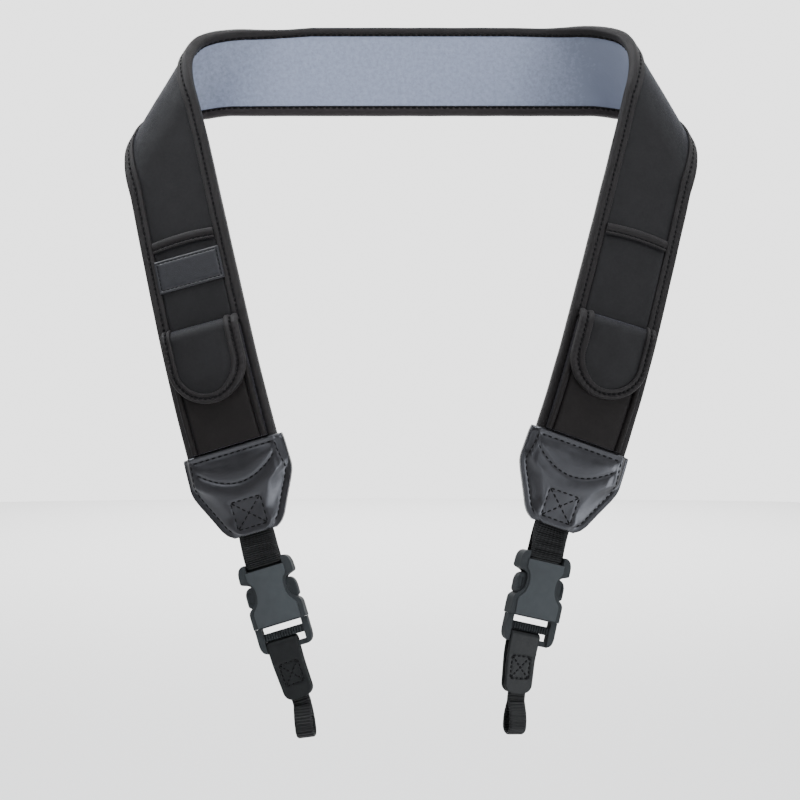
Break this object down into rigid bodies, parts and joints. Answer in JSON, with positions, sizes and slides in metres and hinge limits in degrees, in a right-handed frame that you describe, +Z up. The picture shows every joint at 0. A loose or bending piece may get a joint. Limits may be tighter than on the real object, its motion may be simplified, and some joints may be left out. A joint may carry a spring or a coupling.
{
  "type": "camera neck strap",
  "caption": "Padded camera neck strap with pockets on both shoulder parts, leather end patches, side-release buckles and lug loops, kept in its hanging form.",
  "frame": {"origin": "the middle of the back band's inner face, where it lies on the back of the neck", "axes": "+X to the right in the picture's view, +Y from the wearer's chest to the back of the neck, +Z up"},
  "size_m": [0.331, 0.1033, 0.4098],
  "materials": {
    "face_fabric": "matte black laminated stretch fabric over foam",
    "lining_fabric": "smooth grey-blue lining",
    "edge_tape": "brownish black woven tape",
    "label": "dark grey, bare",
    "patch_leather": "soft glossy black",
    "webbing": "ribbed black webbing",
    "buckle_plastic": "matte black, grey-green in the light",
    "tab_leather": "matte black"
  },
  "bodies": {
    "root": {"pad": "face_fabric", "lining": "lining_fabric", "binding_neck_side": "edge_tape", "binding_outer_side": "edge_tape", "slip_pocket_left": "face_fabric", "slip_pocket_right": "face_fabric", "slip_pocket_binding_left": "edge_tape", "slip_pocket_binding_right": "edge_tape", "label_patch_left": "label", "flap_pocket_left": "face_fabric", "flap_pocket_right": "face_fabric", "flap_left": "face_fabric", "flap_right": "face_fabric", "flap_binding_left": "edge_tape", "flap_binding_right": "edge_tape", "end_patch_front_left": "patch_leather", "end_patch_front_right": "patch_leather", "end_patch_back_left": "patch_leather", "end_patch_back_right": "patch_leather", "webbing_left": "webbing", "webbing_right": "webbing", "buckle_socket_left": "buckle_plastic", "buckle_socket_right": "buckle_plastic", "buckle_plug_left": "buckle_plastic", "buckle_plug_right": "buckle_plastic", "tab_left": "tab_leather", "tab_right": "tab_leather", "lug_loop_left": "webbing", "lug_loop_right": "webbing"}
  },
  "joints": []
}
